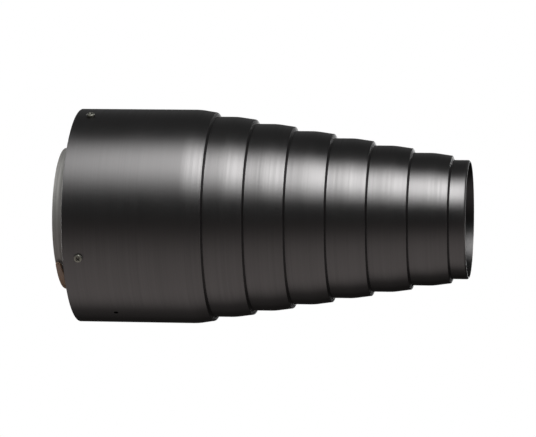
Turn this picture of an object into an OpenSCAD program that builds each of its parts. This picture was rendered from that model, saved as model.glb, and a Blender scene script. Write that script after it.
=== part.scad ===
// Stepped snoot for a studio flash head: eight nested turned shells on a clamping socket.
// The optical axis is +X, with x = 0 at the socket's rear edge and +Z up.
// Angles round the axis are clock angles: 0 is the top (+Z), 90 is the -Y side, 180 is the bottom.

/* [Shells] */
// Outside radius of the rear shell
rear_r = 82.5; // [80:0.5:90]
// Length of the rear shell
rear_len = 106.5; // [95:0.1:120]
// Number of step rings between the rear shell and the nose ring
step_count = 6; // [6]
// Radius lost at each step
step_drop = 5.28; // [5:0.02:5.4]
// Visible length of each step ring
step_pitch = 30.4; // [29:0.1:34]
// Visible length of the nose ring
nose_len = 12.2; // [8:0.1:30]
// Sheet thickness of the shells
wall = 1.5; // [1.2:0.1:1.6]
// Length of the conical lip at the front of the rear shell
rear_lip_len = 13.6; // [10:0.1:16]
// Length of the conical lip at the front of a step ring
ring_lip_len = 15.2; // [10:0.1:16]
// Radius lost along a lip
lip_drop = 2; // [1.5:0.1:2.3]
// Axial length of the bevel that closes a lip down to the next ring
front_bevel = 1.3; // [0.8:0.1:1.6]
// Radial gap between the hole in a shell's front and the ring that passes through it
ring_gap = 0.1; // [0.05:0.05:0.2]
// Radial depth of the bevel at the mouth
mouth_bevel = 0.9; // [0.4:0.1:0.9]
// Axial length of the bevel at the mouth
mouth_bevel_len = 1.5; // [1:0.1:2]
// Chamfer on the turned edges
edge_chamfer = 0.25; // [0.1:0.05:0.4]

/* [Joining rings] */
// Axial length of a joining ring
join_len = 8; // [6:0.5:9]
// Thickness of the flange that a step ring butts against
join_flange = 1.5; // [1:0.1:2]
// Gap between a joining ring and the start of the lip in front of it
join_setback = 0.5; // [0.3:0.1:1]

/* [Socket] */
// Bore radius of the socket, for a 100 mm head collar
socket_r = 50; // [50]
// Sheet thickness of the socket tube
socket_wall = 1.2; // [1:0.1:1.4]
// Length of the socket that stands behind the rear shell
socket_out = 13.4; // [13:0.1:16]
// Number of slots that free the socket's fingers
slot_count = 12; // [8:1:16]
// Width of a slot
slot_w = 2; // [1.5:0.1:3]
// Length of a slot from the rear edge
slot_len = 17; // [14:0.5:20]
// Outside radius of the socket's flange
flange_r = 63; // [62:0.5:66]
// Thickness of the socket's flange
flange_t = 2; // [1.5:0.1:2.5]

/* [Mount plate] */
// Distance from the rear shell's rear rim to the plate
plate_setback = 6.8; // [6.5:0.1:7.5]
// Distance from the rear shell's rear rim to the shell screws
screw_setback = 12.1; // [10:0.1:15]
// Axial length of the plate's outer rim
plate_rim_len = 12; // [10:0.5:14]
// Radial thickness of the plate's outer rim
plate_rim_t = 3.5; // [3:0.1:5]
// Thickness of the plate's web
plate_web_t = 3; // [2.5:0.1:4]
// Radius of the opening through the web
plate_bore_r = 52; // [51.5:0.5:54]

/* [Fasteners] */
// Clock angle of the first shell screw
screw_angle = 23; // [10:0.5:30]
// Number of screws that hold the rear shell
shell_screw_count = 4; // [3:1:6]
// Shank radius of a shell screw
shell_screw_r = 1.5; // [1.5]
// Head radius of a shell screw
shell_head_r = 3.1; // [2.8:0.1:3.2]
// Head height of a shell screw
shell_head_h = 2.2; // [1.6:0.1:2.2]
// Number of screws that hold the socket's flange
flange_screw_count = 6; // [4:1:8]
// Pitch circle radius of the flange screws
flange_screw_pcr = 58; // [57.5:0.5:59]
// Shank radius of a flange screw
flange_screw_r = 2; // [2]
// Clock angle of the cooling hole in the rear shell
vent_angle = 154; // [150:0.5:165]
// Distance of the cooling hole from the rear rim
vent_setback = 34.2; // [32:0.1:40]
// Radius of the cooling hole
vent_r = 1.7; // [1:0.1:2]

/* [Clamp band and latch] */
// Thickness of the band
band_t = 0.8; // [0.6:0.1:1]
// Width of the band
band_w = 12; // [11.5:0.1:12.4]
// Clock angle of the band's end at the lever bracket
band_end_bracket = 207; // [206:1:209]
// Clock angle of the band's end at the hook
band_end_hook = 220; // [218:1:221]
// Clock angle of the lever pivot
pivot_angle = 196; // [195:0.5:197]
// Radius at which the lever pivot sits
pivot_r = 55.2; // [55:0.1:55.4]
// Radius of the lever pin
pin_r = 1.25; // [1.25]
// Radial running clearance of the lever on its pin
pin_clearance = 0.05; // [0.02:0.01:0.1]
// Clock angle of the lever's tip
tip_angle = 132.5; // [131:0.5:136]
// Width of the lever grip
grip_w = 10.8; // [10:0.1:11]
// Radius of the bail wire
wire_r = 0.7; // [0.6:0.05:0.75]
// Clock angle of the bail's end in the lever
bail_angle = 189.8; // [189:0.1:190]
// Clock angle of the bail's crossbar at the hook
crossbar_angle = 230; // [229:0.5:231]
// Radius of the bail's centre line
bail_r = 54.6; // [54.5:0.1:54.8]

/* [Hidden] */
$fn = 96;
eps = 0.01;

anodised = [0.07, 0.07, 0.07];
inner_black = [0.03, 0.03, 0.03];
socket_grey = [0.55, 0.55, 0.54];
band_steel = [0.62, 0.61, 0.6];
latch_steel = [0.5, 0.5, 0.5];
grip_brown = [0.3, 0.19, 0.12];
screw_zinc = [0.7, 0.69, 0.66];

// Shells: k = 0 is the rear shell, 1 to step_count the step rings, step_count + 1 the nose ring
nose = step_count + 1;
rear_x = socket_out;
function shell_r(k) = rear_r - step_drop * k;
function shell_front(k) = rear_x + rear_len + step_pitch * min(k, step_count) + (k == nose ? nose_len : 0);
function lip_len(k) = k == 0 ? rear_lip_len : ring_lip_len;
// The joining ring k holds shell k inside shell k - 1
function join_x(k) = shell_front(k - 1) - lip_len(k - 1) - join_setback - join_len;
function shell_rear(k) = k == 0 ? rear_x : join_x(k) + join_flange;

// Mount plate
screw_x = rear_x + screw_setback;
plate_x = rear_x + plate_setback;
plate_front = plate_x + plate_rim_len;
web_x = plate_front - plate_web_t;
plate_r = rear_r - wall;
flange_x = web_x - flange_t;
shell_screw_len = 6;
flange_screw_len = 6;
flange_head_r = 3.4;
flange_head_h = 2.4;

// Socket and band
socket_outer_r = socket_r + socket_wall;
band_gap = 0.02;
band_inner_r = socket_outer_r + band_gap;
band_r = band_inner_r + band_t;
base_t = 1;
base_r = band_r + base_t;
base_inset = 1.6;

// Lever: its outer face is an arc whose centre lies below the axis, so it thickens towards the pivot
grip_arc_r = 50.8;
grip_arc_drop = 6.9;
lever_gap = 0.4;
lever_t = 1.2;
lever_inner_r = band_r + lever_gap;
lever_outer_r = lever_inner_r + lever_t;
lever_rear_x = 0.6;
grip_end_angle = 183;
strip_end_angle = 186;
ear_start_angle = 183.4;
strip_w = 6.6;
ear_x = 2.6;
ear_t = 1.2;
ear_r = 2.1;
ear_small_r = 1.7;
ear_rise = 1;
ear_gap = 0.15;
tip_w = 3.8;
tip_taper = 9;
knuckle_gap = 0.3;
knuckle_r = 2.4;
lever_mid_x = lever_rear_x + grip_w / 2;
ear_far_x = 2 * lever_mid_x - ear_x;
grip_rivet_angles = [158, 175];
grip_rivet_x = 5.2;
grip_rivet_r = 1.2;

// Bail and hook
wire_x = ear_x - 0.2 - wire_r;
wire_far_x = 2 * lever_mid_x - wire_x;
hook_w = 5;
lug_rise = 2.6;
lug_gap = 0.05;
lug_arc = 2.4;
lug_end_angle = crossbar_angle - asin((wire_r + lug_gap) / bail_r);
bracket_start_angle = 190.5;
hook_end_angle = 237;
rivet_r = 1;
rivet_head_r = 1.5;
rivet_head_h = 0.5;
bracket_rivet_angle = 203.5;
hook_rivet_angle = 234.2;
rivet_offset = 2.4;
anchor_angle = 300;
anchor_rise = 0.7;

// A solid turned about the X axis from a profile of [radius, x] points
module lathe(profile) {
    rotate([0, 90, 0]) rotate_extrude(angle = 360, $fn = 180) polygon(profile);
}

// A curved strip between two clock angles, two radii and two x positions
module arc_strip(from, to, r_in, r_out, x_in, x_out) {
    rotate([0, 90, 0]) rotate([0, 0, from - 180])
    rotate_extrude(angle = to - from, $fn = 180)
    polygon([[r_in, x_in], [r_out, x_in], [r_out, x_out], [r_in, x_out]]);
}

// Turns a child that points along +Z to a clock angle
module at_clock(angle) {
    rotate([angle, 0, 0]) children();
}

// A round bar along X, through a point given by its clock angle and radius
module bar_x(angle, radius, r, x_in, x_out) {
    at_clock(angle) translate([x_in, 0, radius]) rotate([0, 90, 0]) cylinder(r = r, h = x_out - x_in, $fn = 48);
}

// A round rod pointing outwards from the axis
module rod(r, r_in, r_out) {
    translate([0, 0, r_in]) cylinder(r = r, h = r_out - r_in, $fn = 48);
}

// A flat profile in the YZ plane given a thickness along X
module slab_x(x_in, x_out) {
    translate([x_in, 0, 0]) rotate([90, 0, 90]) linear_extrude(height = x_out - x_in) children();
}

// Moves a flat shape to the point of the YZ plane at a clock angle and radius
module at_point(angle, radius) {
    translate([-radius * sin(angle), radius * cos(angle)]) children();
}

// The cross recess of a screw head
module cross_recess(head_r, depth) {
    arm = head_r * 1.25;
    slit = head_r * 0.27;
    for (turn = [0, 90]) {
        rotate([0, 0, turn]) translate([-arm / 2, -slit / 2, -depth]) cube([arm, slit, depth + 1]);
    }
}

// A pan head that stands on z = 0, with a domed edge
module pan_head(head_r, head_h) {
    difference() {
        union() {
            cylinder(r = head_r, h = head_h * 0.55, $fn = 64);
            translate([0, 0, head_h * 0.55])
                cylinder(r1 = head_r, r2 = head_r * 0.72, h = head_h * 0.45, $fn = 64);
        }
        translate([0, 0, head_h]) cross_recess(head_r, head_h * 0.6);
    }
}

// The wall of shell k: a cylinder with a conical lip, and a bevel that closes it down to ring k + 1
module shell_wall(k) {
    r = shell_r(k);
    x_in = shell_rear(k);
    x_out = shell_front(k);
    lip_x = x_out - lip_len(k);
    lip_r = r - lip_drop;
    lip_inner_r = lip_r - wall;
    hole_r = shell_r(k + 1) + ring_gap;
    bevel_slope = front_bevel / (lip_r - hole_r);
    lathe([
        [r - wall, x_in], [r - edge_chamfer, x_in], [r, x_in + edge_chamfer], [r, lip_x],
        [lip_r, x_out - front_bevel], [hole_r, x_out], [hole_r, x_out - wall],
        [lip_inner_r, x_out - wall - bevel_slope * (lip_inner_r - hole_r)], [r - wall, lip_x]
    ]);
}

// Repeats its children at each shell screw, pointing outwards from the axis
module at_shell_screws() {
    for (i = [0 : shell_screw_count - 1]) {
        at_clock(screw_angle + i * 360 / shell_screw_count) translate([screw_x, 0, 0]) children();
    }
}

module rear_shell() {
    color(anodised)
    difference() {
        shell_wall(0);
        at_shell_screws() rod(shell_screw_r, plate_r - 2, rear_r + 2);
        at_clock(vent_angle) translate([rear_x + vent_setback, 0, 0]) rod(vent_r, plate_r - 2, rear_r + 2);
    }
}

module step_ring(k) {
    color(anodised) shell_wall(k);
}

module nose_ring() {
    r = shell_r(nose);
    x_in = shell_rear(nose);
    x_out = shell_front(nose);
    color(anodised)
    lathe([
        [r - wall, x_in], [r - edge_chamfer, x_in], [r, x_in + edge_chamfer], [r, x_out - mouth_bevel_len],
        [r - mouth_bevel, x_out], [r - wall + edge_chamfer, x_out], [r - wall, x_out - edge_chamfer]
    ]);
}

module join_ring(k) {
    x = join_x(k);
    outer = shell_r(k - 1) - wall;
    inner = shell_r(k);
    color(inner_black)
    lathe([
        [inner - wall, x], [outer, x], [outer, x + join_len], [inner, x + join_len],
        [inner, x + join_flange], [inner - wall, x + join_flange]
    ]);
}

module mount_plate() {
    color(inner_black)
    difference() {
        lathe([
            [plate_r - plate_rim_t, plate_x], [plate_r, plate_x], [plate_r, plate_front],
            [plate_bore_r, plate_front], [plate_bore_r, web_x], [plate_r - plate_rim_t, web_x]
        ]);
        at_shell_screws() rod(shell_screw_r, plate_r - plate_rim_t - 2, plate_r + 1);
        for (i = [0 : flange_screw_count - 1]) {
            bar_x(i * 360 / flange_screw_count, flange_screw_pcr, flange_screw_r, web_x - 1, plate_front + 1);
        }
    }
}

module socket() {
    color(socket_grey)
    difference() {
        lathe([
            [socket_r, 0], [socket_outer_r, 0], [socket_outer_r, flange_x], [flange_r, flange_x],
            [flange_r, web_x], [socket_r, web_x]
        ]);
        for (i = [0 : slot_count - 1]) {
            at_clock((i + 0.5) * 360 / slot_count)
            translate([-1, -slot_w / 2, socket_r - 2]) cube([slot_len + 1, slot_w, 6]);
        }
        for (i = [0 : flange_screw_count - 1]) {
            bar_x(i * 360 / flange_screw_count, flange_screw_pcr, flange_screw_r, flange_x - 1, web_x + 1);
        }
        at_clock(anchor_angle) translate([band_w / 2, 0, 0]) rod(rivet_r, socket_r - 1, socket_outer_r + 1);
    }
}

module clamp_band() {
    color(band_steel)
    difference() {
        arc_strip(band_end_hook, band_end_bracket + 360, band_inner_r, band_r, 0, band_w);
        band_rivet_shanks(socket_outer_r - 1, band_r + 1);
        at_clock(anchor_angle) translate([band_w / 2, 0, 0]) rod(rivet_r, socket_outer_r - 1, band_r + 1);
    }
}

// The two rivets through each end of the band
module band_rivet_shanks(r_in, r_out) {
    for (angle = [bracket_rivet_angle, hook_rivet_angle]) {
        for (side = [-1, 1]) {
            at_clock(angle) translate([lever_mid_x + side * rivet_offset, 0, 0]) rod(rivet_r, r_in, r_out);
        }
    }
}

module band_hook() {
    color(latch_steel)
    difference() {
        union() {
            arc_strip(
                lug_end_angle - lug_arc, hook_end_angle, band_r, base_r,
                base_inset, 2 * lever_mid_x - base_inset
            );
            arc_strip(
                lug_end_angle - lug_arc, lug_end_angle, base_r - eps, base_r + lug_rise,
                lever_mid_x - hook_w / 2, lever_mid_x + hook_w / 2
            );
        }
        band_rivet_shanks(band_r - 1, base_r + 1);
    }
}

module latch_bracket() {
    knuckle_x = ear_x + ear_t + knuckle_gap;
    knuckle_far_x = 2 * lever_mid_x - knuckle_x;
    color(latch_steel)
    difference() {
        union() {
            arc_strip(
                bracket_start_angle, band_end_bracket, band_r, base_r,
                base_inset, 2 * lever_mid_x - base_inset
            );
            at_clock(pivot_angle) translate([knuckle_x, -knuckle_r, base_r - 0.4])
            cube([knuckle_far_x - knuckle_x, 2 * knuckle_r, pivot_r - base_r + 0.4]);
            bar_x(pivot_angle, pivot_r, knuckle_r, knuckle_x, knuckle_far_x);
        }
        bar_x(pivot_angle, pivot_r, pin_r, 0, band_w);
        band_rivet_shanks(band_r - 1, base_r + 1);
    }
}

// Side view of a lever ear: it joins the strip to the pivot boss and the boss for the bail's end
module ear_outline() {
    difference() {
        union() {
            at_point(pivot_angle, pivot_r) circle(r = ear_r, $fn = 64);
            at_point(bail_angle, bail_r) circle(r = ear_small_r, $fn = 64);
            intersection() {
                difference() {
                    circle(r = pivot_r + ear_rise, $fn = 180);
                    circle(r = base_r + ear_gap, $fn = 180);
                }
                sector(ear_start_angle, pivot_angle);
            }
        }
        at_point(pivot_angle, pivot_r) circle(r = pin_r + pin_clearance, $fn = 64);
        at_point(bail_angle, bail_r) circle(r = wire_r + pin_clearance, $fn = 64);
    }
}

module latch_lever() {
    color(latch_steel)
    difference() {
        union() {
            slab_x(ear_x, ear_x + ear_t) ear_outline();
            slab_x(ear_far_x - ear_t, ear_far_x) ear_outline();
            arc_strip(
                tip_angle + 2, strip_end_angle, lever_inner_r, lever_outer_r,
                lever_mid_x - strip_w / 2, lever_mid_x + strip_w / 2
            );
        }
        for (angle = grip_rivet_angles) {
            at_clock(angle)
                translate([grip_rivet_x, 0, 0]) rod(grip_rivet_r, lever_inner_r - 1, lever_outer_r + 1);
        }
        tip_cut();
    }
}

// The wedge taken off the front side of the lever and its grip, so both taper towards the tip
module tip_cut() {
    at_clock(tip_angle) translate([lever_rear_x + tip_w, 0, 0])
    rotate([0, 0, tip_taper]) translate([0, -60, 0]) cube([20, 80, rear_r]);
}

// A wedge of the YZ plane between two clock angles
module sector(from, to) {
    reach = 80;
    middle = (from + to) / 2;
    polygon([
        [0, 0], [-reach * sin(from), reach * cos(from)],
        [-reach * sin(middle), reach * cos(middle)], [-reach * sin(to), reach * cos(to)]
    ]);
}

module lever_grip() {
    color(grip_brown)
    difference() {
        slab_x(lever_rear_x, lever_rear_x + grip_w)
        intersection() {
            difference() {
                translate([0, -grip_arc_drop]) circle(r = grip_arc_r, $fn = 180);
                circle(r = lever_outer_r, $fn = 180);
            }
            sector(tip_angle, grip_end_angle);
        }
        for (angle = grip_rivet_angles) {
            at_clock(angle) translate([grip_rivet_x, 0, 0]) rod(grip_rivet_r, lever_outer_r - 1, rear_r);
        }
        tip_cut();
    }
}

module grip_rivets() {
    color(screw_zinc)
    for (angle = grip_rivet_angles) {
        at_clock(angle) translate([grip_rivet_x, 0, 0])
        rod(grip_rivet_r, lever_inner_r, lever_outer_r + grip_thickness(angle) - 0.3);
    }
}

// Thickness of the grip at a clock angle, measured along the radius
function grip_thickness(angle) =
    grip_arc_drop * cos(180 - angle)
    + sqrt(pow(grip_arc_r, 2) - pow(grip_arc_drop * sin(180 - angle), 2))
    - lever_outer_r;

module latch_bail() {
    color(latch_steel)
    union() {
        for (x = [wire_x, wire_far_x]) {
            rotate([0, 90, 0]) rotate([0, 0, bail_angle - 180])
            rotate_extrude(angle = crossbar_angle - bail_angle, $fn = 180)
            translate([bail_r, x]) circle(r = wire_r, $fn = 32);
            for (angle = [bail_angle, crossbar_angle]) {
                at_clock(angle) translate([x, 0, bail_r]) sphere(r = wire_r, $fn = 32);
            }
        }
        bar_x(crossbar_angle, bail_r, wire_r, wire_x, wire_far_x);
        bar_x(bail_angle, bail_r, wire_r, wire_x, ear_x + ear_t);
        bar_x(bail_angle, bail_r, wire_r, ear_far_x - ear_t, wire_far_x);
    }
}

module lever_pin() {
    color(screw_zinc) bar_x(pivot_angle, pivot_r, pin_r, ear_x, ear_far_x);
}

module band_rivets() {
    color(screw_zinc)
    union() {
        for (angle = [bracket_rivet_angle, hook_rivet_angle]) {
            for (side = [-1, 1]) {
                at_clock(angle) translate([lever_mid_x + side * rivet_offset, 0, 0])
                union() {
                    rod(rivet_r, socket_outer_r, base_r + eps);
                    translate([0, 0, base_r])
                    cylinder(r1 = rivet_head_r, r2 = rivet_r, h = rivet_head_h, $fn = 48);
                }
            }
        }
        at_clock(anchor_angle) translate([band_w / 2, 0, 0])
        union() {
            rod(rivet_r, socket_r + 0.1, band_r + eps);
            translate([0, 0, band_r])
                cylinder(r1 = rivet_head_r + 0.5, r2 = rivet_r, h = anchor_rise, $fn = 48);
        }
    }
}

module flange_screws() {
    color(screw_zinc)
    for (i = [0 : flange_screw_count - 1]) {
        at_clock(i * 360 / flange_screw_count) translate([flange_x, 0, flange_screw_pcr]) rotate([0, 90, 0])
        union() {
            cylinder(r = flange_screw_r, h = flange_screw_len, $fn = 48);
            mirror([0, 0, 1]) pan_head(flange_head_r, flange_head_h);
        }
    }
}

module shell_screws() {
    color(screw_zinc)
    at_shell_screws()
    union() {
        rod(shell_screw_r, rear_r - shell_screw_len, rear_r + eps);
        translate([0, 0, rear_r]) pan_head(shell_head_r, shell_head_h);
    }
}

rear_shell();
step_ring(1);  // step_ring_1
step_ring(2);  // step_ring_2
step_ring(3);  // step_ring_3
step_ring(4);  // step_ring_4
step_ring(5);  // step_ring_5
step_ring(6);  // step_ring_6
nose_ring();
join_ring(1);  // join_ring_1
join_ring(2);  // join_ring_2
join_ring(3);  // join_ring_3
join_ring(4);  // join_ring_4
join_ring(5);  // join_ring_5
join_ring(6);  // join_ring_6
join_ring(7);  // join_ring_7
mount_plate();
socket();
clamp_band();
band_hook();
latch_bracket();
latch_lever();
lever_grip();
grip_rivets();
latch_bail();
lever_pin();
band_rivets();
flange_screws();
shell_screws();
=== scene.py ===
import math

import bmesh
import bpy
from mathutils import Matrix, Vector


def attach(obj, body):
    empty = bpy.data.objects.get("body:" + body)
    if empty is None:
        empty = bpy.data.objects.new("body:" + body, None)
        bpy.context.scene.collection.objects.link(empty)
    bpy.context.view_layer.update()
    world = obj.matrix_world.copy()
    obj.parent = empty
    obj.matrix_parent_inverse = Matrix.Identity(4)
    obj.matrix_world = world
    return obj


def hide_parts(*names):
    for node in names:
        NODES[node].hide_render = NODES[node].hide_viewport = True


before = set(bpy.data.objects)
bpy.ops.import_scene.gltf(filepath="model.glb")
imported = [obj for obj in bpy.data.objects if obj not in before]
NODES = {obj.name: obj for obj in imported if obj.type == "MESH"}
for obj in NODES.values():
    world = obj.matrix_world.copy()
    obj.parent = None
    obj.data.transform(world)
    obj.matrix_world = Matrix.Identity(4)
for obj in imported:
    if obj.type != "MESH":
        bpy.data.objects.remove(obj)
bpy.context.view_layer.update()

MM = 0.001
ORIGIN = Vector((0.0, 0.0, 0.0))
ALONG_X = Vector((1.0, 0.0, 0.0))
BACK_X = Vector((-1.0, 0.0, 0.0))
ALONG_Z = Vector((0.0, 0.0, 1.0))

# ---------------------------------------------------------------- camera

# Level with the axis and a little towards the mouth's side, through a long lens. The lens and its
# sensor are in millimetres, the distance, the aim and the clip limits in metres.
CAMERA_YAW = math.radians(7.95)
CAMERA_PITCH = math.radians(0.09)
CAMERA_ROLL = math.radians(0.68)
CAMERA_LENS = 217.9
CAMERA_SENSOR = 36.0
CAMERA_DISTANCE = 2.5
CAMERA_AIM = Vector((0.1589, 0.0, -0.00094))
CAMERA_CLIP = (0.05, 50.0)


def add_camera():
    """The camera, which looks almost square on to the side of the snoot."""
    level = Vector((math.cos(CAMERA_YAW), math.sin(CAMERA_YAW), 0.0))
    forward = Vector((
        -math.sin(CAMERA_YAW) * math.cos(CAMERA_PITCH),
        math.cos(CAMERA_YAW) * math.cos(CAMERA_PITCH),
        -math.sin(CAMERA_PITCH),
    ))
    upright = level.cross(forward)
    right = level * math.cos(CAMERA_ROLL) + upright * math.sin(CAMERA_ROLL)
    up = right.cross(forward)
    data = bpy.data.cameras.new("camera")
    data.lens = CAMERA_LENS
    data.sensor_width = CAMERA_SENSOR
    data.clip_start, data.clip_end = CAMERA_CLIP
    camera = bpy.data.objects.new("camera", data)
    turn = Matrix((right, up, -forward)).transposed().to_4x4()
    camera.matrix_world = Matrix.Translation(CAMERA_AIM - forward * CAMERA_DISTANCE) @ turn
    bpy.context.scene.collection.objects.link(camera)
    bpy.context.scene.camera = camera


# ---------------------------------------------------------------- material tools

# Most of a noise texture's values lie between these
NOISE_LOW = 0.3
NOISE_HIGH = 0.7
# Painted shade, with dirt, in shut-in places: how far it looks for them, in metres, how open a
# place is where the darkening is full and where it ends, and its colour
HOLLOW_SHADE_REACH = 0.0015
HOLLOW_SHADE_FULL = 0.35
HOLLOW_SHADE_NONE = 0.9
HOLLOW_SHADE_COLOUR = (0.008, 0.007, 0.006, 1.0)


class Tree:
    """Short calls for building the node tree of a material or a world."""

    def __init__(self, owner):
        owner.use_nodes = True
        self.nodes = owner.node_tree.nodes
        self.links = owner.node_tree.links

    def add(self, kind, **settings):
        node = self.nodes.new("ShaderNode" + kind)
        for name, value in settings.items():
            setattr(node, name, value)
        return node

    def feed(self, socket, value):
        """Links a socket to the value, or sets it."""
        if isinstance(value, bpy.types.NodeSocket):
            self.links.new(value, socket)
        else:
            socket.default_value = value

    def math(self, operation, first, second=0.0):
        node = self.add("Math", operation=operation)
        self.feed(node.inputs[0], first)
        self.feed(node.inputs[1], second)
        return node.outputs[0]

    def weighed(self, first, second, share):
        """Two values added, the first with this share and the second with the rest."""
        return self.math(
            "ADD", self.math("MULTIPLY", first, share), self.math("MULTIPLY", second, 1.0 - share)
        )

    def ramp(self, value, low, high, to_low, to_high):
        node = self.add("MapRange")
        for socket, v in zip(node.inputs, (value, low, high, to_low, to_high)):
            self.feed(socket, v)
        return node.outputs[0]

    def spread(self, noise, to_low, to_high):
        """Noise spread over a range."""
        return self.ramp(noise, NOISE_LOW, NOISE_HIGH, to_low, to_high)

    def graded(self, value, stops):
        """A soft grade of strength over value, from (value, strength) stops in rising order."""
        low, high = stops[0][0], stops[-1][0]
        top = max(strength for _, strength in stops)
        grade = self.add("ValToRGB")
        ramp = grade.color_ramp
        ramp.interpolation = "LINEAR"
        while len(ramp.elements) < len(stops):
            ramp.elements.new(0.5)
        for element, (place, strength) in zip(ramp.elements, stops):
            element.position = (place - low) / (high - low)
            element.color = (strength / top,) * 3 + (1.0,)
        self.feed(grade.inputs[0], self.ramp(value, low, high, 0.0, 1.0))
        return self.math("MULTIPLY", grade.outputs[0], top)

    def mix(self, factor, first, second):
        node = self.add("Mix", data_type="RGBA")
        self.feed(node.inputs[0], factor)
        self.feed(node.inputs[6], first)
        self.feed(node.inputs[7], second)
        return node.outputs[2]

    def either(self, choice, first, second):
        """The second shader where choice is 1, or else the first."""
        node = self.add("MixShader")
        for socket, value in zip(node.inputs, (choice, first, second)):
            self.feed(socket, value)
        return node.outputs[0]

    def noise(self, vector, scale, detail=3.0, roughness=0.6):
        node = self.add("TexNoise")
        self.feed(node.inputs["Vector"], vector)
        self.feed(node.inputs["Scale"], scale)
        self.feed(node.inputs["Detail"], detail)
        self.feed(node.inputs["Roughness"], roughness)
        return node.outputs["Fac"]

    def attribute(self, name):
        return self.add("Attribute", attribute_name=name).outputs["Fac"]

    def position(self):
        return self.add("TexCoord").outputs["Object"]

    def stretched(self, scale):
        node = self.add("Mapping")
        self.feed(node.inputs["Vector"], self.position())
        self.feed(node.inputs["Scale"], scale)
        return node.outputs[0]

    def is_camera_ray(self):
        return self.add("LightPath").outputs["Is Camera Ray"]

    def emission(self, colour, strength):
        node = self.add("Emission")
        self.feed(node.inputs["Color"], colour)
        self.feed(node.inputs["Strength"], strength)
        return node.outputs[0]

    def hollow_shaded(self, colour, amount):
        """Painted shade, with dirt: the colour darkened where the surface is shut in."""
        if amount == 0.0:
            return colour
        shut = self.add("AmbientOcclusion", samples=8, only_local=True)
        self.feed(shut.inputs["Distance"], HOLLOW_SHADE_REACH)
        open_part = self.ramp(shut.outputs["AO"], HOLLOW_SHADE_FULL, HOLLOW_SHADE_NONE, 1.0 - amount, 1.0)
        return self.mix(open_part, HOLLOW_SHADE_COLOUR, colour)

    def surface(self, **values):
        """Sets or links the inputs of the surface's shader, by their names."""
        for name, value in values.items():
            self.feed(self.nodes["Principled BSDF"].inputs[name.replace("_", " ")], value)

    def bump(self, height, distance, strength):
        node = self.add("Bump")
        self.feed(node.inputs["Height"], height)
        self.feed(node.inputs["Distance"], distance)
        self.feed(node.inputs["Strength"], strength)
        self.surface(Normal=node.outputs[0])


# Turned metal: its fine and broad lines as scales along X and across it, and the fine ones' share
FINE_LINES = (2600.0, 6.0, 6.0)
BROAD_LINES = (420.0, 4.0, 4.0)
FINE_SHARE = 0.45
# The lines' values where they are roughest and smoothest, and how much of the roughness they change
STREAK_LOW = 0.34
STREAK_HIGH = 0.66
STREAK_ROUGH = 0.14
# The scales of the clouds in its gloss and of the patches in its wear; its lines' depth in metres
CLOUD_SCALE = 26.0
PATCH_SCALE = 240.0
LINE_DEPTH = 0.00002
# Values of the mesh's worn attribute where bare metal starts to show and where it is full
WEAR_START = 0.3
WEAR_FULL = 0.95
# Plain finishes: the share of the grain, the scale of the clouds as a share of the grain's, how
# much of the roughness both change, and the grain's depth in metres
GRAIN_SHARE = 0.6
CLOUD_SHARE = 0.08
GRAIN_ROUGH = 0.15
GRAIN_DEPTH = 0.00003


def shades(colour, spread):
    """The colour made darker and lighter by a share."""
    return [tuple(c * (1.0 + way * spread) for c in colour) + (1.0,) for way in (-1.0, 1.0)]


def turned(name, colour, rough, grain, anisotropy, bare=(0.4, 0.39, 0.37), wear=0.5):
    """Metal turned on a lathe about X: fine lines run round it, and its shine spreads along X.

    The darker lines are rougher too, and worn places show bare metal.
    """
    material = bpy.data.materials.new(name)
    t = Tree(material)
    fine = t.noise(t.stretched(FINE_LINES), 1.0)
    broad = t.noise(t.stretched(BROAD_LINES), 1.0)
    streak = t.weighed(fine, broad, FINE_SHARE)
    tone = t.mix(t.spread(streak, 0.0, 1.0), *shades(colour, grain))
    patchy = t.spread(t.noise(t.position(), PATCH_SCALE), 0.55, 1.1)
    worn = t.math("MULTIPLY", t.attribute("worn"), patchy)
    gloss = t.ramp(
        streak, STREAK_LOW, STREAK_HIGH, rough * (1.0 + STREAK_ROUGH), rough * (1.0 - STREAK_ROUGH)
    )
    cloud = t.spread(t.noise(t.position(), CLOUD_SCALE, roughness=0.55), 0.95, 1.06)
    along = t.add("CombineXYZ")
    t.feed(along.inputs["X"], 1.0)
    t.surface(
        Base_Color=t.mix(t.ramp(worn, WEAR_START, WEAR_FULL, 0.0, wear), tone, bare + (1.0,)),
        Metallic=1.0,
        Roughness=t.math("MULTIPLY", gloss, cloud),
        Anisotropic=anisotropy,
        Tangent=along.outputs[0],
    )
    t.bump(streak, LINE_DEPTH, strength=0.12)
    return material


def simple(name, colour, metallic, rough, grain=0.1, size=900.0, bump=0.2, shade_in_hollows=0.0):
    """A plain finish: clouds and grain in its colour and gloss, and painted shade and dirt in
    corners.
    """
    material = bpy.data.materials.new(name)
    t = Tree(material)
    grains = t.noise(t.position(), size)
    cloud = t.noise(t.position(), size * CLOUD_SHARE, detail=2.0, roughness=0.5)
    both = t.weighed(grains, cloud, GRAIN_SHARE)
    t.surface(
        # Painted shade, with dirt, darkens the colour in its corners
        Base_Color=t.hollow_shaded(t.mix(t.spread(both, 0.0, 1.0), *shades(colour, grain)), shade_in_hollows),
        Metallic=metallic,
        Roughness=t.spread(both, rough * (1.0 - GRAIN_ROUGH), rough * (1.0 + GRAIN_ROUGH)),
    )
    t.bump(grains, GRAIN_DEPTH, bump)
    return material


# shade_in_hollows sets how much painted shade, with dirt, darkens a finish's corners
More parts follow.
